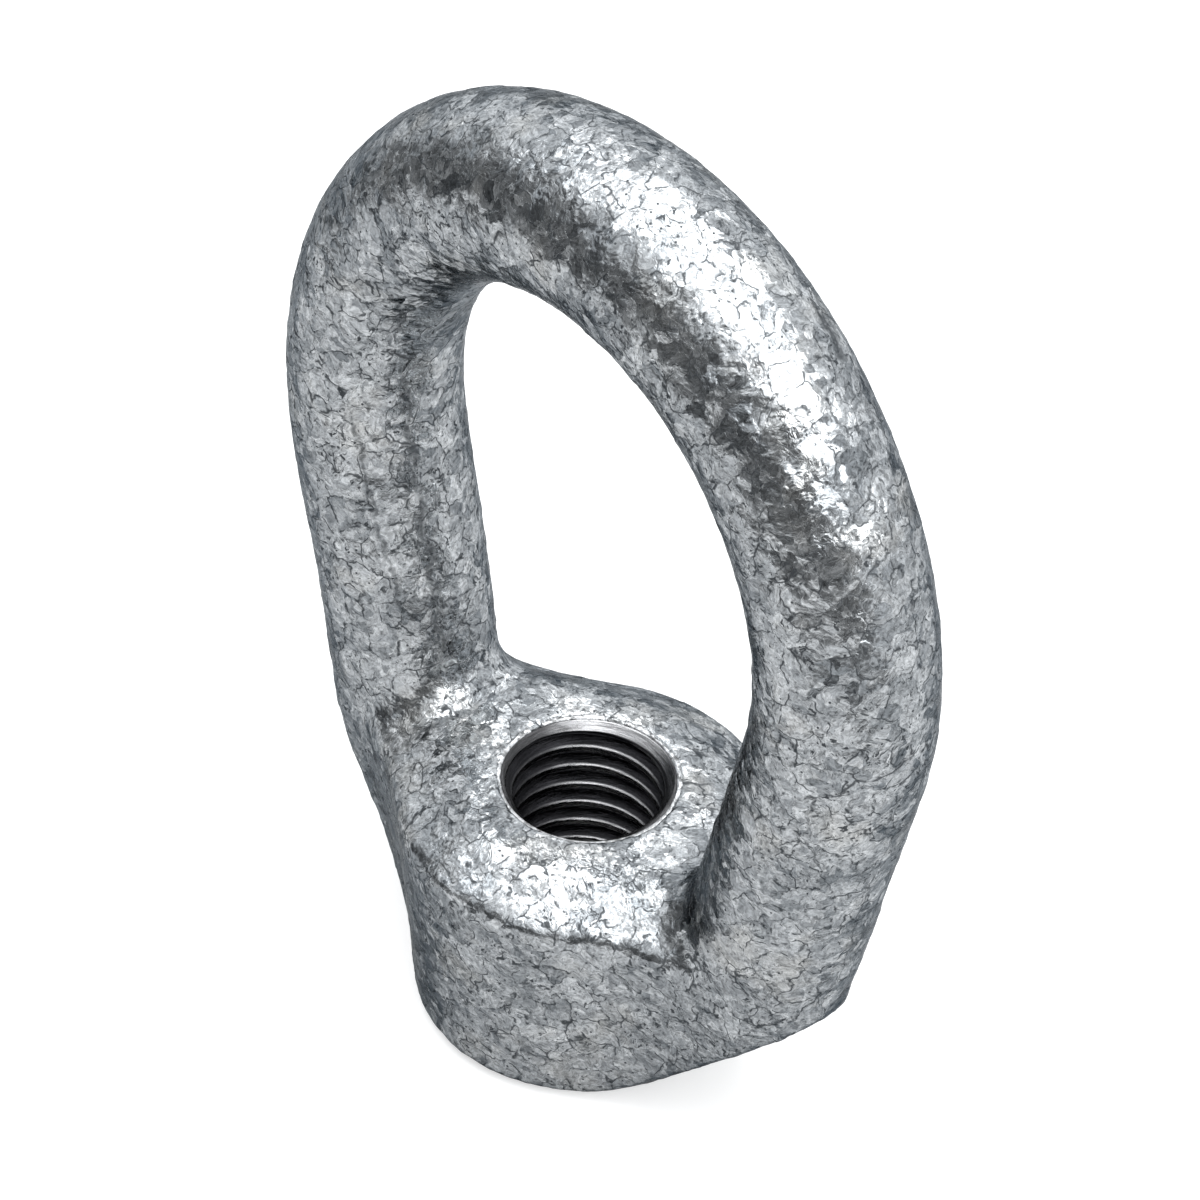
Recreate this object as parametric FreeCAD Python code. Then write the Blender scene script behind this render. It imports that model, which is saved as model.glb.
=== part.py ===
import FreeCAD, Part
import os
from math import cos, degrees, radians, sin, sqrt, tan

# Lifting eye nut: one drop forging. A bar goes round an egg-shaped eye, and its two legs
# run down into a tapered boss that is tapped through from top to bottom.
# Millimetres and degrees. The origin is the middle of the boss's flat bottom, +Z points
# up through the bore to the crown of the eye, and the eye lies in the XZ plane.

# Centre line of the bar
widest_level = 56.4            # height where the eye is widest
crown_bend = 29.1              # bend radius over the crown
crown_turn = 45.0              # how far that bend goes, each side of the top
shoulder_bend = 34.45          # bend radius from there down each side
leg_lean = 12.5                # how much the straight legs close in

# Section of the bar, round in the bends and turning to an oval down the legs
bar_radius = 8.45
leg_extra_width = 0.15         # half width gained in the plane of the eye
leg_lost_depth = 1.05          # half depth lost across it
leg_top_level = 45.0           # where the change begins
leg_oval_level = 21.0          # and where it ends
leg_end_level = 13.5           # the leg ends here, inside the base
leg_end_taper = 1.7            # lost all round on the way to that end

# Boss
boss_height = 26.3
boss_foot_radius = 15.3        # of its wall, at the bottom
ridge_level = 22.6             # height of the ridge between its wall and its domed top
ridge_radius = 17.7
ridge_rounding = 1.2
dome_width = 6.3               # from the ridge in to the flat ring round the bore
dome_rounding = 7.0

# Wings, which fill the space between the boss and the legs
wing_tip_radius = 5.2          # of their rounded ends in plan, at the bottom
wing_ridge_tip_radius = 7.234  # and at the ridge's level
wing_set_back = 0.3            # wings stay this far inside the outer line of the legs
flank_hollow = 30.0            # radius in plan of the hollow between boss and wing
top_tip_radius = 3.3           # of the flat top over the wings, under the legs
root_fillet = 3.6              # where a leg rises from the domed top

# Underside, one curve turned round the axis of the bore
foot_flat_radius = 13.0
foot_curve = 3.6               # from the flat bottom up to the sloping underside
underside_slope = 49.0
edge_rounding = 1.5            # where the walls and the legs meet the underside

# Tapped hole, here as a plain bore at the root of its thread
thread_major_diameter = 15.875
tap_oversize = 0.15            # on the radius, room for the zinc on the bolt
mouth_chamfer = 0.35

leg_section_shares = [0, 0.3, 0.6, 1]  # of the way from leg_top_level to leg_oval_level
leg_end_sections = 4
cut_margin = 30.0              # how far the cutting tools stand clear of the part
mouth_margin = 1.0             # the same for the short cones at the mouths of the bore
touching = 0.01                # an edge this near a face lies on it


def vector(x, y, z):
    return FreeCAD.Vector(x, y, z)


# Ends of the three stretches of half the centre line: crown, shoulder and leg
crown_angle = radians(crown_turn)
leg_angle = radians(90.0 + leg_lean)
lean_angle = radians(leg_lean)
crown_centre_level = widest_level + (shoulder_bend - crown_bend) * cos(crown_angle)
shoulder_x = (crown_bend - shoulder_bend) * sin(crown_angle)
leg_x = shoulder_x + shoulder_bend * sin(leg_angle)
leg_level = widest_level + shoulder_bend * cos(leg_angle)

wall_radius = thread_major_diameter / 2 + tap_oversize


def make_bend(centre, bend, start_angle, turn, side):
    """Length of round bar, turned about a centre from an angle measured from the top."""
    outward = vector(side * sin(start_angle), 0, cos(start_angle))
    along = vector(cos(start_angle), 0, -side * sin(start_angle))
    section = Part.Wire(Part.makeCircle(bar_radius, centre + outward * bend, along))
    return Part.Face(section).revolve(centre, vector(0, side, 0), degrees(turn))


def leg_section(z, side):
    """Oval wire of a leg's section, square to its centre line, at height z."""
    share = (leg_top_level - z) / (leg_top_level - leg_oval_level)
    share = min(max(share, 0.0), 1.0)
    share = share * share * (3 - 2 * share)
    past_oval = max(leg_oval_level - z, 0.0) / (leg_oval_level - leg_end_level)
    taper = leg_end_taper * past_oval ** 2
    half_width = bar_radius + leg_extra_width * share - taper
    half_depth = bar_radius - leg_lost_depth * share - taper
    centre = vector(side * (leg_x - (leg_level - z) * tan(lean_angle)), 0, z)
    across = vector(side * cos(lean_angle), 0, -sin(lean_angle))
    oval = Part.Ellipse(centre, half_width, half_depth)
    oval.Axis = across.cross(vector(0, 1, 0))
    oval.XAxis = across
    return Part.Wire(oval.toShape())


def make_leg(side):
    """Straight leg, and its tapered end inside the base."""
    fall = leg_top_level - leg_oval_level
    levels = [leg_level] + [leg_top_level - share * fall for share in leg_section_shares]
    leg = Part.makeLoft([leg_section(z, side) for z in levels], True, True)
    step = (leg_oval_level - leg_end_level) / leg_end_sections
    levels = [leg_oval_level - i * step for i in range(leg_end_sections + 1)]
    return leg.fuse(Part.makeLoft([leg_section(z, side) for z in levels], True))


def make_bar():
    """The eye's bar, from one foot over the crown to the other."""
    crown_centre = vector(0, 0, crown_centre_level)
    crown = make_bend(crown_centre, crown_bend, -crown_angle, 2 * crown_angle, 1)
    pieces = []
    for side in (1, -1):
        centre = vector(side * shoulder_x, 0, widest_level)
        turn = leg_angle - crown_angle
        pieces.append(make_bend(centre, shoulder_bend, crown_angle, turn, side))
        pieces.append(make_leg(side))
    return crown.multiFuse(pieces)


def wing_tip(z):
    """Centre and radius of the wing's round end in plan, at height z."""
    radius = wing_tip_radius + (wing_ridge_tip_radius - wing_tip_radius) * z / ridge_level
    leg_centre = leg_x - (leg_level - z) * tan(lean_angle)
    leg_outside = leg_centre + bar_radius / cos(lean_angle)
    return leg_outside - wing_set_back - radius, radius


def plan_wire(z, boss, tip_x, tip, flank):
    """Boss circle and two wing ends in plan, joined by hollow arcs of radius flank."""
    hollow_x = ((boss + flank) ** 2 - (tip + flank) ** 2 + tip_x ** 2) / (2 * tip_x)
    hollow_y = sqrt((boss + flank) ** 2 - hollow_x ** 2)
    share = boss / (boss + flank)
    boss_touch = vector(hollow_x * share, hollow_y * share, z)
    share = tip / (tip + flank)
    tip_touch = vector(tip_x + (hollow_x - tip_x) * share, hollow_y * share, z)
    hollow_centre = vector(hollow_x, hollow_y, z)
    towards = (boss_touch + tip_touch) * 0.5 - hollow_centre
    hollow_middle = hollow_centre + towards * (flank / towards.Length)

    def on_side(point, side_x, side_y):
        return vector(side_x * point.x, side_y * point.y, z)

    edges = []
    for side in (1, -1):
        boss_near = on_side(boss_touch, side, -side)
        wing_near = on_side(tip_touch, side, -side)
        wing_far = on_side(tip_touch, side, side)
        boss_far = on_side(boss_touch, side, side)
        boss_next = on_side(boss_touch, -side, side)
        near_middle = on_side(hollow_middle, side, -side)
        far_middle = on_side(hollow_middle, side, side)
        edges.append(Part.Arc(boss_near, near_middle, wing_near).toShape())
        edges.append(Part.Arc(wing_near, vector(side * (tip_x + tip), 0, z), wing_far).toShape())
        edges.append(Part.Arc(wing_far, far_middle, boss_far).toShape())
        edges.append(Part.Arc(boss_far, vector(0, side * boss, z), boss_next).toShape())
    return Part.Wire(edges)


def edges_at_level(shape, z):
    """Edges that lie in the horizontal plane at height z."""
    found = []
    for edge in shape.Edges:
        box = edge.BoundBox
        if abs(box.ZMin - z) < touching and abs(box.ZMax - z) < touching:
            found.append(edge)
    return found


def make_base():
    """Boss and wings as one block, with the domed top."""
    ridge_x, ridge_tip = wing_tip(ridge_level)
    foot_x, foot_tip = wing_tip(0)
    top_x = ridge_x + ridge_tip - dome_width - top_tip_radius
    foot = plan_wire(0, boss_foot_radius, foot_x, foot_tip, flank_hollow)
    ridge = plan_wire(ridge_level, ridge_radius, ridge_x, ridge_tip, flank_hollow)
    top = plan_wire(boss_height, ridge_radius - dome_width, top_x, top_tip_radius,
                    flank_hollow + dome_width)
    block = Part.makeLoft([foot, ridge, top], True, True)
    block = block.makeFillet(dome_rounding, edges_at_level(block, boss_height))
    return block.makeFillet(ridge_rounding, edges_at_level(block, ridge_level))


def make_underside_tool():
    """What is cut away below the foot's curve and the sloping underside."""
    slope = radians(underside_slope)

    def on_foot(angle):
        return vector(foot_flat_radius + foot_curve * sin(angle), 0, foot_curve * (1 - cos(angle)))

    flat_end = on_foot(0)
    slope_start = on_foot(slope)
    outer_r = slope_start.x + cut_margin
    slope_end = vector(outer_r, 0, slope_start.z + cut_margin * tan(slope))
    outline = [
        Part.Arc(flat_end, on_foot(slope / 2), slope_start).toShape(),
        Part.makeLine(slope_start, slope_end),
        Part.makeLine(slope_end, vector(outer_r, 0, -cut_margin)),
        Part.makeLine(vector(outer_r, 0, -cut_margin), vector(foot_flat_radius, 0, -cut_margin)),
        Part.makeLine(vector(foot_flat_radius, 0, -cut_margin), flat_end),
    ]
    return Part.Face(Part.Wire(outline)).revolve(vector(0, 0, 0), vector(0, 0, 1), 360)


def shared_edges(body, first, second, lowest, highest):
    """Edges of body that lie on both of two shapes, between two heights."""
    found = []
    for edge in body.Edges:
        box = edge.BoundBox
        if box.ZMin < lowest or box.ZMax > highest + touching:
            continue
        middle = Part.Vertex(edge.valueAt((edge.FirstParameter + edge.LastParameter) / 2))
        on_first = min(face.distToShape(middle)[0] for face in first.Faces)
        on_second = min(face.distToShape(middle)[0] for face in second.Faces)
        if on_first < touching and on_second < touching:
            found.append(edge)
    return found


def make_mouth(level, upward):
    """Cone that chamfers one end of the bore, opening upward or downward."""
    outer_radius = wall_radius + mouth_chamfer + mouth_margin
    start = vector(0, 0, level - upward * mouth_chamfer)
    return Part.makeCone(wall_radius, outer_radius, mouth_chamfer + mouth_margin, start,
                         vector(0, 0, upward))


def make_eye_nut():
    bar = make_bar()
    base = make_base()
    underside = make_underside_tool()
    block = base.fuse(bar)
    body = block.cut(underside)
    roots = shared_edges(body, bar, base, ridge_level - ridge_rounding, boss_height)
    body = body.makeFillet(root_fillet, roots)
    foot_edges = shared_edges(body, underside, block, touching, ridge_level)
    body = body.makeFillet(edge_rounding, foot_edges)
    bore = Part.makeCylinder(wall_radius, boss_height + 2 * cut_margin, vector(0, 0, -cut_margin))
    body = body.cut(bore)
    body = body.cut(make_mouth(boss_height, 1))
    return body.cut(make_mouth(0, -1))


os.makedirs("parts", exist_ok=True)
eye_nut = make_eye_nut().Solids[0]
eye_nut.exportStep("parts/eye_nut.step")
print("valid", eye_nut.isValid(), "volume", round(eye_nut.Volume), "box", eye_nut.BoundBox)
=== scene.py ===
import bmesh
import bpy
import numpy as np
from math import cos, radians, sin
from mathutils import Matrix, Vector


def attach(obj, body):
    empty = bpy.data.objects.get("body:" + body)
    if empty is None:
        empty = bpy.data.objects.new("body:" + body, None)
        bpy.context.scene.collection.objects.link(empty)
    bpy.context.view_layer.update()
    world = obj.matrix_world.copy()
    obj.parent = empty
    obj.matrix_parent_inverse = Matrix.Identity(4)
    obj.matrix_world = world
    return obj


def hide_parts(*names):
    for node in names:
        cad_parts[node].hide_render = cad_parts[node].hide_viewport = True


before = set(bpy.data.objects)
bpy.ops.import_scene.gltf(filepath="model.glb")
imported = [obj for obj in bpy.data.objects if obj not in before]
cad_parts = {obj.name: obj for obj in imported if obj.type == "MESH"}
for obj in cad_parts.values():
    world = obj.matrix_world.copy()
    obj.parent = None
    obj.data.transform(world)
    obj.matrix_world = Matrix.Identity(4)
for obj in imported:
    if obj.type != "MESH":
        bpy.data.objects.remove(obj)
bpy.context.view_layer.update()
millimetre = 0.001


# The photo's camera: where it looks, from how far, and how it is turned
photoCamera = {
    "azimuth": 45.77,          # degrees round from the front
    "elevation": 41.32,
    "roll": 3.19,
    "distance": 0.5235,
    "target": (0.0, 0.0, 0.045),
    "slide": (0.000226, 0.002023),   # of the view, right and up, in metres
    "focal": 4.9167,           # focal length over the frame's width
    "sensor": 36.0,
    "clip": (0.01, 20.0),
}


def makeCamera(settings):
    a, e, r = (radians(settings[k]) for k in ("azimuth", "elevation", "roll"))
    back = Vector((sin(a) * cos(e), -cos(a) * cos(e), sin(e)))
    level = Vector((cos(a), sin(a), 0.0))
    upright = back.cross(level)
    right = level * cos(r) + upright * sin(r)
    up = upright * cos(r) - level * sin(r)
    slideRight, slideUp = settings["slide"]
    target = Vector(settings["target"]) + right * slideRight + up * slideUp
    spot = target + back * settings["distance"]
    data = bpy.data.cameras.new("photoCamera")
    data.sensor_width = settings["sensor"]
    data.lens = settings["sensor"] * settings["focal"]
    data.clip_start, data.clip_end = settings["clip"]
    camera = bpy.data.objects.new("photoCamera", data)
    bpy.context.scene.collection.objects.link(camera)
    camera.matrix_world = Matrix.Translation(spot) @ Matrix((right, up, back)).transposed().to_4x4()
    bpy.context.scene.camera = camera
    print("camera stands at", [round(c, 4) for c in spot])


makeCamera(photoCamera)


# Random lattice numbers from 0 to 1: whole-number places are mixed by multiplying and shifting
mixing = {
    "places": (374761393, 668265263, 2246822519),   # large primes, one for each axis
    "seed": 3266489917,
    "rounds": ((15, 2654435761), (13, 1597334677)),  # bits shifted, then the multiplier
    "lastShift": 16,
    "word": 0xFFFFFFFF,                              # 32 bits
    "kept": 0xFFFFFF,                                # the 24 bits that make the number
}


def latticeRandom(ix, iy, iz, seed):
    first, second, third = mixing["places"]
    mixed = (ix * first + iy * second + iz * third + seed * mixing["seed"]) & mixing["word"]
    for shift, factor in mixing["rounds"]:
        mixed = ((mixed ^ (mixed >> shift)) * factor) & mixing["word"]
    return ((mixed ^ (mixed >> mixing["lastShift"])) & mixing["kept"]) / mixing["kept"]


# Smooth noise from -1 to 1: eight corner values blended by the curve 6t^5 - 15t^4 + 10t^3
def smoothNoise(points, size, seed):
    scaled = points / size
    whole = np.floor(scaled).astype(np.int64)
    part = scaled - whole
    ease = part * part * part * (part * (part * 6 - 15) + 10)
    total = np.zeros(len(points))
    for corner in range(8):
        step = np.array([corner & 1, corner >> 1 & 1, corner >> 2 & 1])
        share = np.prod(np.where(step, ease, 1 - ease), axis=1)
        spot = whole + step
        total += share * latticeRandom(spot[:, 0], spot[:, 1], spot[:, 2], seed)
    return total * 2 - 1


# Scales of zinc: each point takes the tilt of its nearest seed, and sinks where two seeds are level
def scaleRelief(points, normals, size, tilt, groove, grooveWidth, seed):
    scaled = points / size
    whole = np.floor(scaled).astype(np.int64)
    beyondAny = 9.0                               # further than any seed, in sizes
    nearest = np.full(len(points), beyondAny)
    second = np.full(len(points), beyondAny)
    offset = np.zeros_like(points)
    lean = np.zeros_like(points)
    for neighbour in range(27):
        spot = whole + np.array([neighbour % 3 - 1, neighbour // 3 % 3 - 1, neighbour // 9 - 1])
        draws = [latticeRandom(spot[:, 0], spot[:, 1], spot[:, 2], seed + k) for k in range(6)]
        away = scaled - (spot + np.stack(draws[:3], axis=1))
        distance = np.sqrt((away * away).sum(axis=1))
        closer = distance < nearest
        second = np.where(closer, nearest, np.minimum(second, distance))
        nearest = np.where(closer, distance, nearest)
        offset = np.where(closer[:, None], away, offset)
        lean = np.where(closer[:, None], np.stack(draws[3:], axis=1) * 2 - 1, lean)
    lean -= normals * (lean * normals).sum(axis=1)[:, None]
    edge = np.clip((second - nearest) / grooveWidth, 0, 1)
    slope = (offset * lean).sum(axis=1) * size * tilt
    return slope * edge - groove * (1 - edge) ** 2


def smoothStep(value, low, high):
    t = np.clip((value - low) / (high - low), 0, 1)
    return t * t * (3 - 2 * t)


# The forging: the solid's own form as an even, dense skin, then the hammered and dipped surface
forging = {
    "mergeWithin": 0.002 * millimetre,
    "voxel": 0.465 * millimetre,
    "rounds": 10,               # of smoothing over the blends
    "roundSteps": (0.5, -0.52),                      # towards the neighbours' mean, and back
    "barFrom": (30 * millimetre, 35 * millimetre),   # above this the skin lies on the bar's oval
    "inset": 0.17 * millimetre,
    "leftShift": 0.55 * millimetre,                  # the left leg was forged this far inwards
    "leftShiftLevel": 33 * millimetre,
    "leftShiftReach": 15 * millimetre,               # up and down from that level
    "leftShiftBeyond": -15 * millimetre,             # it is the part of the body further left than this
    "ridgeLevels": (18 * millimetre, 22 * millimetre, 25 * millimetre),   # worn rounder round here
    "ridgeRadius": (12.5 * millimetre, 15 * millimetre),
    "ridgeRounds": 22,
    "ridgeStep": 0.5,
    "ridgeShare": (0.75, 0.35),                      # of that step, and how far that varies
    "ridgeSize": 6 * millimetre,                     # over which it varies
    "ridgeSeed": 71,
    "swells": (                                      # height, size and seed of the soft unevenness
        (0.035 * millimetre, 9 * millimetre, 11),
        (0.018 * millimetre, 3.6 * millimetre, 12),
        (0.018 * millimetre, 1.5 * millimetre, 13),
    ),
    "wander": (0.9 * millimetre, 2.4 * millimetre, 21),    # of the scales' edges: reach, size and seed
    "scales": (                                      # size, tilt, groove, its width and seed
        (3.2 * millimetre, 0.036, 0.03 * millimetre, 0.16, 31),
        (1.6 * millimetre, 0.055, 0.01 * millimetre, 0.2, 41),
    ),
    "flash": 0.07 * millimetre,                      # the line left where the two dies met
    "flashWidth": 0.45 * millimetre,
    "flashShare": (0.6, 0.6),                        # how much of it is left, and how far that varies
    "flashSize": 7 * millimetre,
    "flashSeed": 51,
    "flashFromBore": (14 * millimetre, 18 * millimetre),   # radius and level where it begins, because
    "flashFromLevel": (30 * millimetre, 34 * millimetre),  # there is none on the dome round the bore
    "mostRelief": 0.95,                              # of the inset
}
bar = {
    "widestLevel": 56.4 * millimetre,
    "crownBend": 29.1 * millimetre,
    "crownTurn": radians(45.0),
    "shoulderBend": 34.45 * millimetre,
    "legAngle": radians(102.5),
    "halfWidth": 8.22 * millimetre,
    "halfDepth": 8.2 * millimetre,
    "crownOuter": 0.30 * millimetre,     # what these gain at the crown: outside,
    "crownInner": 0.75 * millimetre,     # inside
    "crownDepth": 0.40 * millimetre,     # and across
    "legWidth": 0.33 * millimetre,       # and down the legs
    "legDepth": -0.8 * millimetre,
    "legFrom": (45.0 * millimetre, 21.0 * millimetre),
}


def mergedCopy(node, within):
    build = bmesh.new()
    build.from_mesh(node.data)
    bmesh.ops.remove_doubles(build, verts=build.verts, dist=within)
    mesh = bpy.data.meshes.new("mergedCopy")
    build.to_mesh(mesh)
    build.free()
    return mesh


def evenSkin(mesh, voxel):
    holder = bpy.data.objects.new("skinHolder", mesh)
    bpy.context.scene.collection.objects.link(holder)
    remesh = holder.modifiers.new("evenSkin", "REMESH")
    remesh.mode = "VOXEL"
    remesh.voxel_size = voxel
    view = bpy.context.evaluated_depsgraph_get()
    skin = bpy.data.meshes.new_from_object(holder.evaluated_get(view))
    bpy.data.objects.remove(holder)
    return skin


def readPoints(mesh):
    flat = np.empty(len(mesh.vertices) * 3)
    mesh.vertices.foreach_get("co", flat)
    return flat.reshape(-1, 3)


def readEdges(mesh):
    flat = np.empty(len(mesh.edges) * 2, dtype=np.int64)
    mesh.edges.foreach_get("vertices", flat)
    return flat.reshape(-1, 2)


def neighbourMean(points, edges, count):
    first, second = edges[:, 0], edges[:, 1]
    total = np.empty_like(points)
    for axis in range(points.shape[1]):
        total[:, axis] = (np.bincount(first, points[second, axis], count)
                          + np.bincount(second, points[first, axis], count))
    neighbours = np.bincount(first, minlength=count) + np.bincount(second, minlength=count)
    return total / neighbours[:, None]


# Smoothing that keeps the volume: a step towards the neighbours, then a slightly longer one back
def smoothed(points, edges, rounds, steps):
    for _ in range(rounds):
        for step in steps:
            points = points + step * (neighbourMean(points, edges, len(points)) - points)
    return points


# Plain smoothing in a band of levels outside a radius, which rounds off the ridge there
def wornRidge(points, edges, settings):
    low, middle, high = settings["ridgeLevels"]
    level = points[:, 2]
    share = smoothStep(level, low, middle) * (1 - smoothStep(level, middle, high))
    share *= smoothStep(np.hypot(points[:, 0], points[:, 1]), *settings["ridgeRadius"])
    usual, change = settings["ridgeShare"]
    share *= usual + change * smoothNoise(points, settings["ridgeSize"], settings["ridgeSeed"])
    share = np.clip(share, 0, 1)[:, None]
    for _ in range(settings["ridgeRounds"]):
        towards = neighbourMean(points, edges, len(points)) - points
        points = points + settings["ridgeStep"] * share * towards
    return points


# Puts points on the bar's surface: finds the centre line beside each, then stretches the
# point's offset from it until it lies on the oval there
def onBar(points):
    side = np.where(points[:, 0] < 0, -1.0, 1.0)
    x, y, z = points[:, 0] * side, points[:, 1], points[:, 2]
    gap = bar["crownBend"] - bar["shoulderBend"]
    turn, leg = bar["crownTurn"], bar["legAngle"]
    crownCentre = bar["widestLevel"] - gap * cos(turn)
    shoulderCentre = gap * sin(turn)
    overCrown = np.arctan2(x, z - crownCentre)
    downSide = np.arctan2(x - shoulderCentre, z - bar["widestLevel"])
    onCrown = overCrown < turn
    onLeg = ~onCrown & (downSide > leg)
    turned = np.where(onCrown, overCrown, np.where(onLeg, leg, downSide))
    bend = np.where(onCrown, bar["crownBend"], bar["shoulderBend"])
    centreX = np.where(onCrown, 0.0, shoulderCentre)
    centreZ = np.where(onCrown, crownCentre, bar["widestLevel"])
    outX, outZ = np.sin(turned), np.cos(turned)
    across = (x - centreX) * outX + (z - centreZ) * outZ - bend
    along = np.where(onLeg, (x - centreX) * outZ - (z - centreZ) * outX, 0.0)
    lineX = centreX + bend * outX + along * outZ
    lineZ = centreZ + bend * outZ - along * outX
    nearCrown = np.maximum(np.cos(turned), 0) ** 2
    downLeg = 1 - smoothStep(lineZ, bar["legFrom"][1], bar["legFrom"][0])
    crownGain = np.where(across > 0, bar["crownOuter"], bar["crownInner"])
    width = bar["halfWidth"] + crownGain * nearCrown + bar["legWidth"] * downLeg
    depth = bar["halfDepth"] + bar["crownDepth"] * nearCrown ** 2 + bar["legDepth"] * downLeg
    stretch = 1 / np.sqrt((across / width) ** 2 + (y / depth) ** 2)
    across, y = across * stretch, y * stretch
    return np.stack([side * (lineX + across * outX), y, lineZ + across * outZ], axis=1)


def meshNormals(mesh):
    flat = np.empty(len(mesh.vertices) * 3)
    mesh.vertices.foreach_get("normal", flat)
    return flat.reshape(-1, 3)


def writePoints(mesh, points):
    mesh.vertices.foreach_set("co", points.astype(np.float32).ravel())
    mesh.update()


def makeForging(settings):
    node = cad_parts["eye_nut"]
    skin = evenSkin(mergedCopy(node, settings["mergeWithin"]), settings["voxel"])
    edges = readEdges(skin)
    points = smoothed(readPoints(skin), edges, settings["rounds"], settings["roundSteps"])
    points = wornRidge(points, edges, settings)
    low, high = settings["barFrom"]
    share = smoothStep(points[:, 2], low, high)[:, None]
    points = points * (1 - share) + onBar(points) * share
    fromLevel = np.abs(points[:, 2] - settings["leftShiftLevel"]) / settings["leftShiftReach"]
    onLeft = points[:, 0] < settings["leftShiftBeyond"]
    points[:, 0] += settings["leftShift"] * (1 - smoothStep(fromLevel, 0, 1)) * onLeft
    writePoints(skin, points)
    normals = meshNormals(skin)
    relief = np.zeros(len(points))
    for height, size, seed in settings["swells"]:
        relief += height * smoothNoise(points, size, seed)
    reach, size, seed = settings["wander"]
    wander = [smoothNoise(points, size, seed + k) for k in range(3)]
    warped = points + reach * np.stack(wander, axis=1)
    for scale in settings["scales"]:
        relief += scaleRelief(warped, normals, *scale)
    offBore = smoothStep(np.hypot(points[:, 0], points[:, 1]), *settings["flashFromBore"])
    offBore = np.maximum(offBore, smoothStep(points[:, 2], *settings["flashFromLevel"]))
    usual, change = settings["flashShare"]
    left = usual + change * smoothNoise(points, settings["flashSize"], settings["flashSeed"])
    beside = points[:, 1] / settings["flashWidth"]
    relief += settings["flash"] * offBore * left * np.exp(-beside ** 2)
    relief = np.minimum(relief, settings["mostRelief"] * settings["inset"]) - settings["inset"]
    points = points + normals * relief[:, None]
    points[:, 2] = np.maximum(points[:, 2], 0)
    writePoints(skin, points)
    skin.shade_smooth()
    piece = bpy.data.objects.new("forging", skin)
    bpy.context.scene.collection.objects.link(piece)
    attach(piece, "root")
    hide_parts("eye_nut")
    print("forging has", len(skin.polygons), "faces, relief from",
          round(relief.min() / millimetre, 3), "to", round(relief.max() / millimetre, 3), "mm")
    return piece


forgingPiece = makeForging(forging)
bpy.context.view_layer.update()


# The thread: a right-hand helix of 60 degree ridges standing in from the wall of the hole
thread = {
    "pitch": 25.4 / 11 * millimetre,
    "rootRadius": 8.04 * millimetre,
    "crestRadius": 6.88 * millimetre,
    "outerRadius": 8.45 * millimetre,    # hidden inside the forging
    "rootFlat": 0.14,                    # of the pitch
    "crestFlat": 0.22,
    "flankEase": 0.10,                   # how far the flanks swell from straight
    "phase": -0.22,
    "bottom": 0.30 * millimetre,
    "top": 26.02 * millimetre,
    "mouthRadius": 8.26 * millimetre,    # of the 45 degree chamfer, at the level of the boss's top
    "mouthLevel": 26.3 * millimetre,
    "wornFront": 44.0,                   # in this direction, in degrees from the front, the mouth
    "wornDepth": 0.5 * millimetre,       # is worn down by this much
    "wornSpan": (-0.35, 0.75),           # cosines of the turns from there at which that ends and is whole
    "shoulder": 0.4 * millimetre,        # fall from the mouth's edge to the hidden outside
    "around": 132,
    "perPitch": 26,
}


# A closed ring: rows run along a closed profile and columns run round the axis
def makeRing(name, radius, height):
    rows, columns = radius.shape
    angle = np.linspace(0, 2 * np.pi, columns, endpoint=False)[None, :]
    points = np.stack([radius * np.cos(angle), radius * np.sin(angle), height], axis=2).reshape(-1, 3)
    row, column = np.meshgrid(np.arange(rows), np.arange(columns), indexing="ij")
    nextRow, nextColumn = (row + 1) % rows, (column + 1) % columns
    corners = [row * columns + column, nextRow * columns + column,
               nextRow * columns + nextColumn, row * columns + nextColumn]
    faces = np.stack([c.ravel() for c in corners], axis=1)
    mesh = bpy.data.meshes.new(name)
    mesh.from_pydata(points.tolist(), [], faces.tolist())
    mesh.update()
    mesh.shade_smooth()
    piece = bpy.data.objects.new(name, mesh)
    bpy.context.scene.collection.objects.link(piece)
    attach(piece, "root")
    return piece


def makeThread(settings):
    pitch, bottom, top = settings["pitch"], settings["bottom"], settings["top"]
    rows = int((top - bottom) / pitch * settings["perPitch"])
    angle = np.linspace(0, 2 * np.pi, settings["around"], endpoint=False)[None, :]
    towardsFront = np.cos(angle + np.pi / 2 - radians(settings["wornFront"]))
    mouth = top - settings["wornDepth"] * smoothStep(towardsFront, *settings["wornSpan"])
    level = bottom + (mouth - bottom) * np.linspace(0, 1, rows)[:, None]
    turn = (level / pitch - angle / (2 * np.pi) + settings["phase"]) % 1.0
    fromCrest = np.abs(turn - 0.5) * 2            # 0 on a crest, 1 in a root
    rise = (1 - settings["rootFlat"] - fromCrest) / (1 - settings["rootFlat"] - settings["crestFlat"])
    rise = np.clip(rise, 0, 1)
    rise = rise + settings["flankEase"] * (rise * rise * (3 - 2 * rise) - rise)
    inner = settings["rootRadius"] - (settings["rootRadius"] - settings["crestRadius"]) * rise
    inner = np.maximum(inner, settings["mouthRadius"] - settings["mouthLevel"] + level)
    outer = np.full((2, settings["around"]), settings["outerRadius"])
    radius = np.vstack([inner, outer])
    height = np.vstack([level, mouth - settings["shoulder"], np.full_like(angle, bottom)])
    piece = makeRing("thread", radius, height)
    print("thread has", rows, "rows over", round((top - bottom) / pitch, 2), "turns")
    return piece


threadPiece = makeThread(thread)


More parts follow.
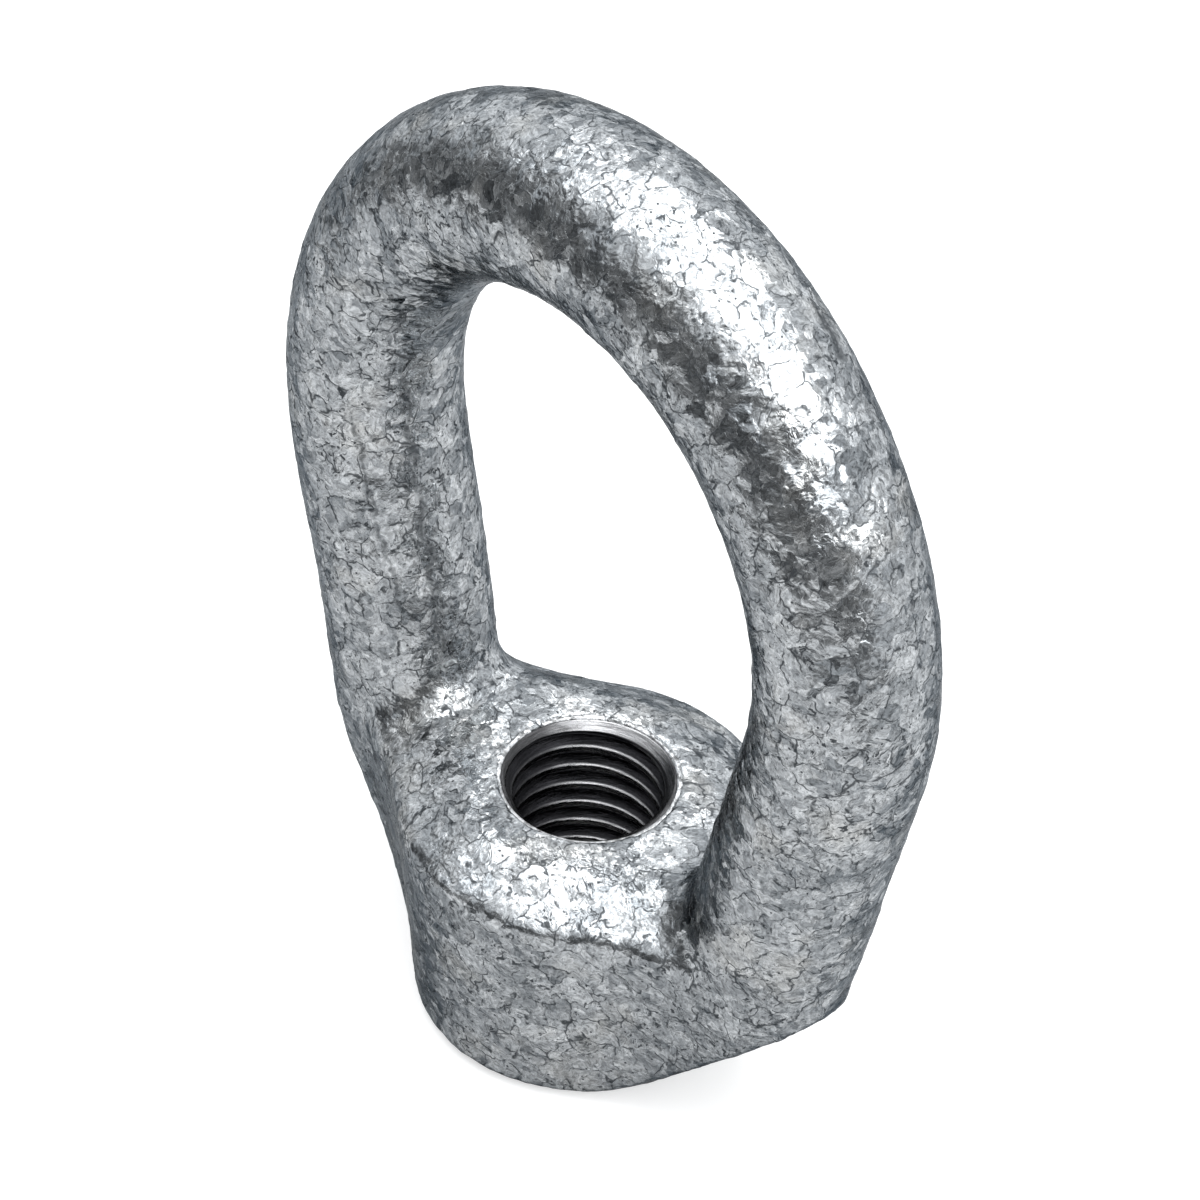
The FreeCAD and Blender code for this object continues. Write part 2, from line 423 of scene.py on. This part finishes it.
# The cut edge of the zinc round the top of the hole: thin and bright at the back, chipped and
# gone in places, and worn down in front
rim = {
    "innerRadius": 8.00 * millimetre,
    "outerRadius": 8.22 * millimetre,
    "low": 25.80 * millimetre,
    "high": 26.20 * millimetre,
    "widest": 0.55 * millimetre,       # most that the lip gains in width
    "usualShare": 0.45,                # of that, and how it varies: share, size and seed
    "ragged": ((0.5, 1.7 * millimetre, 61), (0.4, 0.5 * millimetre, 62)),
    "uneven": (0.03 * millimetre, 0.4 * millimetre, 63),   # the same for the lip's height
    "wornFront": 44.0,                 # direction in degrees from the front
    "wornDepth": 0.9 * millimetre,     # how far it sinks there
    "wornSpan": (-0.35, 0.75),         # cosines of the turns at which that ends and is whole
    "chips": ((-149.0, 7.0), (-96.0, 5.0), (118.0, 4.0)),   # directions and half widths in degrees
    "chipEdge": 0.6,                   # share of a chip's half width that is sunk whole
    "innerWidth": 0.10 * millimetre,   # of the bevel down into the hole
    "innerFall": 0.05 * millimetre,
    "outerWidth": 0.12 * millimetre,   # and of the edge that goes into the forging
    "outerFall": 0.30 * millimetre,
    "hidden": 0.3 * millimetre,        # width and depth of what lies inside the forging
    "around": 720,
}


def makeRim(settings):
    around = settings["around"]
    angle = np.linspace(0, 2 * np.pi, around, endpoint=False)
    circle = np.stack([np.cos(angle), np.sin(angle), np.zeros(around)], axis=1)
    circle = circle * settings["outerRadius"]
    direction = np.degrees(angle) + 90            # round from the front towards +X
    wide = np.full(around, settings["usualShare"])
    for share, size, seed in settings["ragged"]:
        wide += share * smoothNoise(circle, size, seed)
    lip = settings["outerRadius"] + settings["widest"] * np.clip(wide, 0, 1)
    depth = settings["wornDepth"]
    towardsFront = np.cos(np.radians(direction - settings["wornFront"]))
    sunk = depth * smoothStep(towardsFront, *settings["wornSpan"])
    for chip, reach in settings["chips"]:
        away = np.abs((direction - chip + 180) % 360 - 180)
        sunk = np.maximum(sunk, depth * (1 - smoothStep(away, settings["chipEdge"] * reach, reach)))
    share, size, seed = settings["uneven"]
    high = settings["high"] - sunk + share * smoothNoise(circle, size, seed)
    inner = np.full(around, settings["innerRadius"])
    low = np.full(around, settings["low"])
    hidden = settings["hidden"]
    radius = np.stack([inner, inner + settings["innerWidth"], lip,
                       lip + settings["outerWidth"], inner + hidden])
    height = np.stack([low, high - settings["innerFall"], high,
                       high - settings["outerFall"], low - hidden])
    piece = makeRing("rim", radius, height)
    return piece


rimPiece = makeRim(rim)


def newMaterial(name):
    material = bpy.data.materials.new(name)
    material.use_nodes = True
    return material, material.node_tree, material.node_tree.nodes["Principled BSDF"]


def addNode(tree, kind, values=None, **settings):
    node = tree.nodes.new(kind)
    for name, value in settings.items():
        setattr(node, name, value)
    for name, value in (values or {}).items():
        node.inputs[name].default_value = value
    return node


def texture(tree, kind, vector, values, **settings):
    node = addNode(tree, kind, values, **settings)
    tree.links.new(vector, node.inputs["Vector"])
    return node


# Grey or coloured stops along a value
def ramp(tree, value, stops):
    node = addNode(tree, "ShaderNodeValToRGB")
    elements = node.color_ramp.elements
    while len(elements) < len(stops):
        elements.new(0.5)
    for element, (place, colour) in zip(elements, stops):
        element.position = place
        element.color = (colour, colour, colour, 1) if isinstance(colour, float) else (*colour, 1)
    tree.links.new(value, node.inputs["Fac"])
    return node.outputs["Color"]


# Mixes two colours; a colour Mix node takes its factor in socket 0 and the colours in 6 and 7
def blend(tree, kind, factor, first, second):
    node = addNode(tree, "ShaderNodeMix", data_type="RGBA", blend_type=kind)
    for place, value in ((0, factor), (6, first), (7, second)):
        if isinstance(value, bpy.types.NodeSocket):
            tree.links.new(value, node.inputs[place])
        elif place == 0:
            node.inputs[0].default_value = value
        else:
            node.inputs[place].default_value = (*value, 1)
    return node.outputs[2]


def combine(tree, operation, first, second):
    node = addNode(tree, "ShaderNodeMath", operation=operation)
    for place, value in ((0, first), (1, second)):
        if isinstance(value, bpy.types.NodeSocket):
            tree.links.new(value, node.inputs[place])
        else:
            node.inputs[place].default_value = value
    return node.outputs[0]


# Follows a value from one pair of levels to another, straight or easing in and out
def spread(tree, value, between, to, kind="SMOOTHSTEP"):
    levels = {"From Min": between[0], "From Max": between[1], "To Min": to[0], "To Max": to[1]}
    node = addNode(tree, "ShaderNodeMapRange", levels, interpolation_type=kind)
    tree.links.new(value, node.inputs["Value"])
    return node.outputs["Result"]


def addBump(tree, shader, height, distance):
    bump = addNode(tree, "ShaderNodeBump", {"Strength": 1.0, "Distance": distance})
    tree.links.new(height, bump.inputs["Height"])
    tree.links.new(bump.outputs["Normal"], shader.inputs["Normal"])


# The grain that every finish here has: noise spread between two levels, as a tone and as a height
grain = {
    "detail": 4.0,
    "roughness": 0.7,
    "levels": (0.36, 0.64),              # of the noise, where the tone is lowest and highest
    "inputs": (("Scale", 1000.0), ("Low", 0.8), ("High", 1.2)),
}


def makeGrainGroup(settings):
    group = bpy.data.node_groups.new("grain", "ShaderNodeTree")
    group.interface.new_socket("Place", in_out="INPUT", socket_type="NodeSocketVector")
    for name, value in settings["inputs"]:
        socket = group.interface.new_socket(name, in_out="INPUT", socket_type="NodeSocketFloat")
        socket.default_value = value
    for name in ("Tone", "Height"):
        group.interface.new_socket(name, in_out="OUTPUT", socket_type="NodeSocketFloat")
    start = addNode(group, "NodeGroupInput")
    end = addNode(group, "NodeGroupOutput")
    values = {"Detail": settings["detail"], "Roughness": settings["roughness"]}
    noise = texture(group, "ShaderNodeTexNoise", start.outputs["Place"], values)
    group.links.new(start.outputs["Scale"], noise.inputs["Scale"])
    lowest, highest = settings["levels"]
    levels = addNode(group, "ShaderNodeMapRange", {"From Min": lowest, "From Max": highest})
    group.links.new(noise.outputs["Fac"], levels.inputs["Value"])
    group.links.new(start.outputs["Low"], levels.inputs["To Min"])
    group.links.new(start.outputs["High"], levels.inputs["To Max"])
    group.links.new(levels.outputs["Result"], end.inputs["Tone"])
    group.links.new(noise.outputs["Fac"], end.inputs["Height"])
    return group


grainGroup = makeGrainGroup(grain)


def addGrain(tree, place, scale, low, high):
    node = addNode(tree, "ShaderNodeGroup", node_tree=grainGroup)
    tree.links.new(place, node.inputs["Place"])
    for name, value in (("Scale", scale), ("Low", low), ("High", high)):
        node.inputs[name].default_value = value
    return node.outputs["Tone"], node.outputs["Height"]


# Moves a place by noise, so that straight patterns wander
def bend(tree, place, values, reach):
    drift = texture(tree, "ShaderNodeTexNoise", place, values)
    moved = addNode(tree, "ShaderNodeVectorMath", operation="MULTIPLY_ADD")
    tree.links.new(drift.outputs["Color"], moved.inputs[0])
    moved.inputs[1].default_value = (reach, reach, reach)
    tree.links.new(place, moved.inputs[2])
    return moved.outputs["Vector"]


# The zinc. Scales are per metre: 360 is a plate about every 3 mm. Each list of stops follows a
# noise or a distance from one mask value or tone to the next
zinc = {
    "bend": {"Scale": 320.0, "Detail": 3.0, "Roughness": 0.55},
    "bendReach": 2.9 * millimetre,
    "plates": 360.0,
    "flakes": 1050.0,
    "veins": {"Scale": 700.0, "Detail": 3.0, "Roughness": 0.6},
    "patches": {"Scale": 300.0, "Detail": 2.0, "Roughness": 0.6},
    "breaks": {"Scale": 900.0, "Detail": 3.0, "Roughness": 0.6},
    "cloud": {"Scale": 120.0, "Detail": 5.0, "Roughness": 0.6},
    "specks": {"Scale": 1500.0, "Detail": 3.0, "Roughness": 0.6},
    "dots": 1000.0,
    "ripples": {"Scale": 1250.0, "Detail": 2.0, "Roughness": 0.6, "Distortion": 2.2},
    "wrinkles": {"Scale": 700.0, "Detail": 2.0, "Roughness": 0.5},
    "grain": (2600.0, 0.64, 1.26),
    "plateLine": [(0.0, 1.0), (0.017, 0.8), (0.042, 0.0)],
    "veinLine": [(0.482, 0.0), (0.497, 1.0), (0.512, 0.0)],
    "linesShown": [(0.44, 0.0), (0.53, 1.0)],
    "busy": [(0.44, 0.0), (0.57, 1.0)],
    "pits": [(0.365, 1.0), (0.40, 0.0)],
    "dotRadius": [(0.09, 1.0), (0.15, 0.0)],
    "dotsShown": [(0.18, 0.0), (0.23, 1.0)],
    "scarsAndPaintedShown": [(0.36, 0.25), (0.50, 1.0)],
    "warmth": [(0.54, 0.0), (0.66, 0.45)],
    "rippleTone": [(0.33, 0.50), (0.43, 0.85), (0.53, 0.95), (0.64, 1.0)],
    "restless": [(0.40, 0.25), (0.60, 1.0)],
    "toneShares": (0.22, 0.34, 0.44),    # of the plates, the flakes and the cloud
    "toneLevels": (0.28, 0.70),          # of their sum, for the dark and the pale grey
    "markDarkness": 0.9,
    "markRoughness": (0.6, 0.6, 0.6),
    "paleGrey": (0.725, 0.748, 0.765),
    "darkGrey": (0.240, 0.258, 0.274),
    "warmGrey": (0.540, 0.532, 0.505),
    # also the colour of the painted reflection and painted shade lines
    "crackAndShadeGrey": (0.050, 0.056, 0.062),
    "edgeGrey": (0.28, 0.30, 0.32),      # what the surface mirrors at a glancing angle
    "polish": (0.12, 0.29),              # roughness of the smoothest and the dullest flakes
    "bump": 0.00014,
    "ripple": 0.00003,
    "tilts": (0.085, 0.105),             # of the plates and the flakes, as a slope
}


# Height of cells that each lean their own way, in units of the bump: the offset from the cell's
# point, times the cell's own random slope
def leaning(tree, place, cells, tilt, bump):
    offset = addNode(tree, "ShaderNodeVectorMath", operation="SUBTRACT")
    tree.links.new(place, offset.inputs[0])
    tree.links.new(cells.outputs["Position"], offset.inputs[1])
    lean = addNode(tree, "ShaderNodeVectorMath", operation="MULTIPLY_ADD")
    tree.links.new(cells.outputs["Color"], lean.inputs[0])
    lean.inputs[1].default_value = (2 * tilt / bump,) * 3
    lean.inputs[2].default_value = (-tilt / bump,) * 3
    along = addNode(tree, "ShaderNodeVectorMath", operation="DOT_PRODUCT")
    tree.links.new(offset.outputs["Vector"], along.inputs[0])
    tree.links.new(lean.outputs["Vector"], along.inputs[1])
    return along.outputs["Value"]


# Cracks, folds and the line where the dies met, which the photo shows here, and dark lines of painted
# reflection and painted shade: half width in millimetres, darkness, and the points of the line in
# millimetres
scarsAndPaintedLines = {
    "crossCrack": (0.17, 0.85, (34.2, -7.6, 52.5), (37.0, -5.5, 54.7), (38.6, -3.0, 55.8),
                   (39.1, -0.3, 56.6)),
    "lowCrack": (0.13, 0.70, (33.7, -7.4, 47.3), (34.7, -6.4, 45.2), (35.1, -5.1, 41.8)),
    "topFold": (0.75, 0.85, (20.5, 4.0, 90.3), (22.6, 3.7, 89.0)),
    "rimNick": (0.30, 0.90, (5.9, 6.1, 26.2), (6.7, 7.1, 26.2)),
    "dieLine": (0.12, 0.70, (38.5, -0.8, 49.7), (36.6, -0.6, 40.4), (34.7, -0.9, 31.7),
                (32.5, -1.0, 21.5)),
    # painted reflection: two dark streaks down the left leg that stand for mirrored dark bands of the
    # surroundings
    "leftOuterReflection": (0.30, 0.55, (-25.7, -6.9, 54.2), (-23.2, -6.2, 45.6), (-20.5, -5.3, 36.6)),
    "leftInnerReflection": (0.32, 0.60, (-22.7, -3.4, 60.2), (-20.9, -2.5, 45.7), (-17.9, -2.6, 32.1)),
    # painted shade: a dark line in the crease where the left leg meets the boss
    "leftRootShade": (0.35, 0.50, (-15.7, -8.4, 23.9), (-13.9, -2.2, 26.4), (-13.4, 4.5, 26.2)),
}
scarAndPaintedReach = (1.1 * millimetre, 1.8 * millimetre)   # from the straight line, where a scar or painted line fades out
scarAndPaintedCore = 0.3                                     # share of the half width that is darkest


# Mask of a line laid on the surface from start to end: 1 on it, fading to 0 past its half width.
# The wandering place decides how far beside the line a point is, the true place where it ends
def laidLine(tree, place, bent, drift, start, end, halfWidth):
    along = end - start
    _, _, normal, _ = forgingPiece.closest_point_on_mesh((start + end) / 2)
    beside = along.cross(normal).normalized()
    offset = addNode(tree, "ShaderNodeVectorMath", operation="SUBTRACT")
    tree.links.new(place, offset.inputs[0])
    offset.inputs[1].default_value = start
    share = addNode(tree, "ShaderNodeVectorMath", operation="DOT_PRODUCT")
    tree.links.new(offset.outputs["Vector"], share.inputs[0])
    share.inputs[1].default_value = along / along.length_squared
    within = addNode(tree, "ShaderNodeClamp")
    tree.links.new(share.outputs["Value"], within.inputs["Value"])
    nearest = addNode(tree, "ShaderNodeVectorMath", operation="SCALE")
    nearest.inputs[0].default_value = along
    tree.links.new(within.outputs["Result"], nearest.inputs["Scale"])
    away = addNode(tree, "ShaderNodeVectorMath", operation="DISTANCE")
    tree.links.new(offset.outputs["Vector"], away.inputs[0])
    tree.links.new(nearest.outputs["Vector"], away.inputs[1])
    reach = spread(tree, away.outputs["Value"], scarAndPaintedReach, (1.0, 0.0), "LINEAR")
    aside = addNode(tree, "ShaderNodeVectorMath", operation="DOT_PRODUCT")
    tree.links.new(bent, aside.inputs[0])
    aside.inputs[1].default_value = beside
    gap = combine(tree, "SUBTRACT", aside.outputs["Value"], beside.dot(start + drift))
    gap = combine(tree, "ABSOLUTE", gap, 0.0)
    line = spread(tree, gap, (scarAndPaintedCore * halfWidth, halfWidth), (1.0, 0.0), "LINEAR")
    return combine(tree, "MULTIPLY", line, reach)


def scarAndPaintedLineMask(tree, place, bent, drift):
    mask = 0.0
    for halfWidth, darkness, *points in scarsAndPaintedLines.values():
        spots = [Vector(point) * millimetre for point in points]
        for start, end in zip(spots, spots[1:]):
            line = laidLine(tree, place, bent, drift, start, end, halfWidth * millimetre)
            mask = combine(tree, "MAXIMUM", mask, combine(tree, "MULTIPLY", line, darkness))
    return mask


def zincMaterial(settings):
    material, tree, shader = newMaterial("dippedZinc")
    place = addNode(tree, "ShaderNodeTexCoord").outputs["Object"]
    bent = bend(tree, place, settings["bend"], settings["bendReach"])

    def noise(name, vector):
        return texture(tree, "ShaderNodeTexNoise", vector, settings[name]).outputs["Fac"]

    def cells(name, vector, feature="F1"):
        return texture(tree, "ShaderNodeTexVoronoi", vector, {"Scale": settings[name]}, feature=feature)

    def mask(name, value):
        return ramp(tree, value, settings[name])

    # plates and flakes, with the dark broken lines that part them
    plates = cells("plates", bent)
    flakes = cells("flakes", bent)
    plateEdge = cells("plates", bent, "DISTANCE_TO_EDGE")
    patches = noise("patches", place)
    breaks = noise("breaks", place)
    busy = mask("busy", patches)
    fine = combine(tree, "MULTIPLY", mask("veinLine", noise("veins", bent)), busy)
    lines = combine(tree, "MAXIMUM", mask("plateLine", plateEdge.outputs["Distance"]), fine)
    lines = combine(tree, "MULTIPLY", lines, mask("linesShown", breaks))

    # pits, dots and scars, and dark lines of painted reflection and painted shade
    cloud = noise("cloud", place)
    pits = combine(tree, "MULTIPLY", mask("pits", noise("specks", bent)), busy)
    dots = cells("dots", place)
    dotted = mask("dotsShown", combine(tree, "MULTIPLY", dots.outputs["Color"], cloud))
    dotted = combine(tree, "MULTIPLY", mask("dotRadius", dots.outputs["Distance"]), dotted)
    marks = combine(tree, "MAXIMUM", lines, combine(tree, "MAXIMUM", pits, dotted))
    drift = Vector((1, 1, 1)) * 0.5 * settings["bendReach"]     # the mean of what the bend adds
    scarredAndPainted = combine(tree, "MULTIPLY", scarAndPaintedLineMask(tree, place, bent, drift), mask("scarsAndPaintedShown", breaks))
    marks = combine(tree, "MAXIMUM", marks, scarredAndPainted)

    # tone of each plate, clouded, rippled and grained, here and there warmer
    ripples = noise("ripples", bent)
    grainTone, _ = addGrain(tree, bent, *settings["grain"])
    pick = 0.0
    sources = (plates.outputs["Color"], flakes.outputs["Color"], cloud)
    for source, share in zip(sources, settings["toneShares"]):
        pick = combine(tree, "ADD", pick, combine(tree, "MULTIPLY", source, share))
    dark, pale = settings["toneLevels"]
    tone = ramp(tree, pick, [(dark, settings["darkGrey"]), (pale, settings["paleGrey"])])
    tone = blend(tree, "MIX", mask("warmth", cloud), tone, settings["warmGrey"])
    colour = blend(tree, "MULTIPLY", 1.0, tone, mask("rippleTone", ripples))
    colour = blend(tree, "MULTIPLY", 1.0, colour, grainTone)
    darkened = combine(tree, "MULTIPLY", marks, settings["markDarkness"])
    # the marks take a dark grey: real cracks, pits, dots and scars, and the painted reflection and
    # painted shade lines
    colour = blend(tree, "MIX", darkened, colour, settings["crackAndShadeGrey"])
    tree.links.new(colour, shader.inputs["Base Color"])
    shader.inputs["Metallic"].default_value = 1.0
    shader.inputs["Specular Tint"].default_value = (*settings["edgeGrey"], 1)

    smooth, dull = settings["polish"]
    rough = ramp(tree, flakes.outputs["Color"], [(0.0, smooth), (1.0, dull)])
    rough = blend(tree, "MIX", marks, rough, settings["markRoughness"])
    tree.links.new(rough, shader.inputs["Roughness"])

    # wrinkles as high as the place is restless, the cells' lean, and ripples
    wrinkles = combine(tree, "SUBTRACT", noise("wrinkles", bent), 0.5)
    height = combine(tree, "MULTIPLY", wrinkles, mask("restless", patches))
    for source, tilt in zip((plates, flakes), settings["tilts"]):
        height = combine(tree, "ADD", height, leaning(tree, bent, source, tilt, settings["bump"]))
    share = settings["ripple"] / settings["bump"]
    height = combine(tree, "ADD", height, combine(tree, "MULTIPLY", ripples, share))
    addBump(tree, shader, height, settings["bump"])
    return material


# Bare steel of the thread: bright on the crests and the mouth's chamfer, with painted shade that makes
# the roots and flanks near black
steel = {
    "stretch": (1.0, 1.0, 14.0),         # the cutter's marks run round the thread
    # painted shade: the near-black colour of the roots and flanks, as if they lay in shadow
    "rootShadeGrey": (0.018, 0.018, 0.020),
    "crestGrey": (0.54, 0.54, 0.55),
    "crestRadius": (6.90 * millimetre, 7.12 * millimetre),     # bright inside, dark outside
    "mouthLevel": (25.25 * millimetre, 25.35 * millimetre),    # dark below, bright above
    "mouthShare": 0.9,
    "highlightSide": (-0.435, 0.900, 0.0),   # the side towards which a bright smear is painted on the crests and chamfer as a highlight
    "highlightSpan": (0.55, 0.99),         # cosines of the turns from there at which that ends and is whole
    "awayFromHighlight": 0.12,
    "grain": (420.0, 0.55, 1.25),
    "polish": (0.20, 0.32),
    "polishLevels": (0.3, 0.7),          # of the grain, for the two
    "brushed": 0.75,
    "bump": 0.00005,
}


def steelMaterial(settings):
    material, tree, shader = newMaterial("cutSteel")
    place = addNode(tree, "ShaderNodeTexCoord").outputs["Object"]
    stretch = addNode(tree, "ShaderNodeMapping", {"Scale": settings["stretch"]})
    tree.links.new(place, stretch.inputs["Vector"])
    grainTone, grainHeight = addGrain(tree, stretch.outputs["Vector"], *settings["grain"])
    flat = addNode(tree, "ShaderNodeVectorMath", operation="MULTIPLY")
    tree.links.new(place, flat.inputs[0])
    flat.inputs[1].default_value = (1, 1, 0)
    reach = addNode(tree, "ShaderNodeVectorMath", operation="LENGTH")
    tree.links.new(flat.outputs["Vector"], reach.inputs[0])
    parts = addNode(tree, "ShaderNodeSeparateXYZ")
    tree.links.new(place, parts.inputs["Vector"])
    onCrest = spread(tree, reach.outputs["Value"], settings["crestRadius"], (1.0, 0.0), "LINEAR")
    mouth = (0.0, settings["mouthShare"])
    atMouth = spread(tree, parts.outputs["Z"], settings["mouthLevel"], mouth, "LINEAR")
    bright = combine(tree, "MAXIMUM", onCrest, atMouth)
    # painted highlight: the crests and the chamfer keep full brightness only on one side, as a bright
    # smear, and are dimmed elsewhere
    towards = addNode(tree, "ShaderNodeVectorMath", operation="DOT_PRODUCT")
    tree.links.new(place, towards.inputs[0])
    towards.inputs[1].default_value = settings["highlightSide"]
    turned = combine(tree, "DIVIDE", towards.outputs["Value"], reach.outputs["Value"])
    paintedHighlight = spread(tree, turned, settings["highlightSpan"], (settings["awayFromHighlight"], 1.0))
    bright = combine(tree, "MULTIPLY", bright, paintedHighlight)
    # painted shade everywhere off the crests and the chamfer, and the steel's own grey on them
    colour = blend(tree, "MIX", bright, settings["rootShadeGrey"], settings["crestGrey"])
    colour = blend(tree, "MULTIPLY", 1.0, colour, grainTone)
    tree.links.new(colour, shader.inputs["Base Color"])
    rough = ramp(tree, grainHeight, list(zip(settings["polishLevels"], settings["polish"])))
    tree.links.new(rough, shader.inputs["Roughness"])
    shader.inputs["Metallic"].default_value = 1.0
    shader.inputs["Anisotropic"].default_value = settings["brushed"]
    tangent = addNode(tree, "ShaderNodeTangent", direction_type="RADIAL", axis="Z")
    tree.links.new(tangent.outputs["Tangent"], shader.inputs["Tangent"])
    addBump(tree, shader, grainHeight, settings["bump"])
    return material


# The cut edge of the zinc
cutZinc = {
    "grey": (0.72, 0.73, 0.74),
    "grain": (1500.0, 0.25, 1.5),
    "roughness": 0.3,
    "bump": 0.00006,
}


def rimMaterial(settings):
    material, tree, shader = newMaterial("cutZinc")
    place = addNode(tree, "ShaderNodeTexCoord").outputs["Object"]
    grainTone, grainHeight = addGrain(tree, place, *settings["grain"])
    colour = blend(tree, "MULTIPLY", 1.0, settings["grey"], grainTone)
    tree.links.new(colour, shader.inputs["Base Color"])
    shader.inputs["Metallic"].default_value = 1.0
    shader.inputs["Roughness"].default_value = settings["roughness"]
    addBump(tree, shader, grainHeight, settings["bump"])
    return material


forgingPiece.data.materials.clear()
forgingPiece.data.materials.append(zincMaterial(zinc))
threadPiece.data.materials.append(steelMaterial(steel))
rimPiece.data.materials.append(rimMaterial(cutZinc))
print("materials are on")


# The studio: a pale floor, a white surround that is dim low down in front, and a large soft light
studio = {
    "floorSize": 3.0,
    "floorColour": (0.50, 0.50, 0.50),
    "floorRoughness": 0.9,
    "farColour": (0.13, 0.13, 0.13),     # what the metal mirrors of the floor far off in front
    "farReach": (0.15, 0.26),            # metres from the part over which that takes over
    "farFront": (-0.02, 0.04),           # and metres to the front
    "floorGlow": 0.55,              # lightens the shadows that the camera sees on the floor
    "glowColour": (1, 1, 1, 1),
    "surround": (0.96, 0.98, 1.0),
    "surroundStrength": 1.15,
    "dimStrength": 0.17,
    "seenStrength": 1.0,            # of the surround behind the part
    "dimHeight": (24.0, 35.0),      # degrees up to which the front is dim, and where it has faded out
    "dimFront": (95.0, 62.0),       # degrees to each side where the dimness begins, and is whole
    "lightCentre": (0, 0, 0.045),   # what the lights face
    "lights": {
        # name: azimuth, elevation, distance, width, height, brightness
        "overhead": (85.0, 75.0, 0.90, 1.04, 2.10, 2.8),
    },
}


def directionFrom(azimuth, elevation):
    a, e = radians(azimuth), radians(elevation)
    return Vector((sin(a) * cos(e), -cos(a) * cos(e), sin(e)))


def makeFloor(settings):
    size = settings["floorSize"]
    mesh = bpy.data.meshes.new("floor")
    corners = [(-size, -size, 0), (size, -size, 0), (size, size, 0), (-size, size, 0)]
    mesh.from_pydata(corners, [], [(0, 1, 2, 3)])
    floor = bpy.data.objects.new("floor", mesh)
    bpy.context.scene.collection.objects.link(floor)
    material, tree, shader = newMaterial("paleFloor")
    place = addNode(tree, "ShaderNodeNewGeometry").outputs["Position"]
    parts = addNode(tree, "ShaderNodeSeparateXYZ")
    tree.links.new(place, parts.inputs["Vector"])
    reach = addNode(tree, "ShaderNodeVectorMath", operation="LENGTH")
    tree.links.new(place, reach.inputs[0])
    far = spread(tree, reach.outputs["Value"], settings["farReach"], (0.0, 1.0))
    forward = combine(tree, "MULTIPLY", parts.outputs["Y"], -1.0)
    front = spread(tree, forward, settings["farFront"], (0.0, 1.0))
    seen = addNode(tree, "ShaderNodeLightPath").outputs["Is Camera Ray"]
    unseen = combine(tree, "SUBTRACT", 1.0, seen)
    mirrored = combine(tree, "MULTIPLY", combine(tree, "MULTIPLY", far, front), unseen)
    colour = blend(tree, "MIX", mirrored, settings["floorColour"], settings["farColour"])
    tree.links.new(colour, shader.inputs["Base Color"])
    shader.inputs["Roughness"].default_value = settings["floorRoughness"]
    shader.inputs["Emission Color"].default_value = settings["glowColour"]
    glow = combine(tree, "MULTIPLY", seen, settings["floorGlow"])
    tree.links.new(glow, shader.inputs["Emission Strength"])
    mesh.materials.append(material)


def makeSurround(settings):
    world = bpy.data.worlds.new("surround")
    world.use_nodes = True
    tree = world.node_tree
    background = tree.nodes["Background"]
    background.inputs["Color"].default_value = (*settings["surround"], 1)
    direction = addNode(tree, "ShaderNodeTexCoord").outputs["Generated"]
    parts = addNode(tree, "ShaderNodeSeparateXYZ")
    tree.links.new(direction, parts.inputs["Vector"])
    low, high = (sin(radians(angle)) for angle in settings["dimHeight"])
    rise = spread(tree, parts.outputs["Z"], (low, high), (1.0, 0.0))
    side, front = (-cos(radians(angle)) for angle in settings["dimFront"])
    turn = spread(tree, parts.outputs["Y"], (side, front), (0.0, 1.0))
    strengths = (settings["surroundStrength"], settings["dimStrength"])
    fade = spread(tree, combine(tree, "MULTIPLY", rise, turn), (0.0, 1.0), strengths, "LINEAR")
    seen = addNode(tree, "ShaderNodeMapRange", {"To Max": settings["seenStrength"]})
    tree.links.new(addNode(tree, "ShaderNodeLightPath").outputs["Is Camera Ray"], seen.inputs["Value"])
    tree.links.new(fade, seen.inputs["To Min"])
    tree.links.new(seen.outputs["Result"], background.inputs["Strength"])
    bpy.context.scene.world = world


# A light's watts are its brightness times its area times pi
def makeLights(settings):
    centre = Vector(settings["lightCentre"])
    for name, lamp in settings["lights"].items():
        azimuth, elevation, distance, width, height, brightness = lamp
        data = bpy.data.lights.new(name, "AREA")
        data.shape, data.size, data.size_y = "RECTANGLE", width, height
        data.energy = brightness * width * height * np.pi
        light = bpy.data.objects.new(name, data)
        towards = directionFrom(azimuth, elevation)
        light.location = centre + towards * distance
        light.rotation_euler = towards.to_track_quat("Z", "Y").to_euler()
        bpy.context.scene.collection.objects.link(light)


def makeStudio(settings):
    makeFloor(settings)
    makeSurround(settings)
    makeLights(settings)
    bpy.context.scene.view_settings.view_transform = "Standard"
    print("studio has", len(settings["lights"]), "lights")


makeStudio(studio)
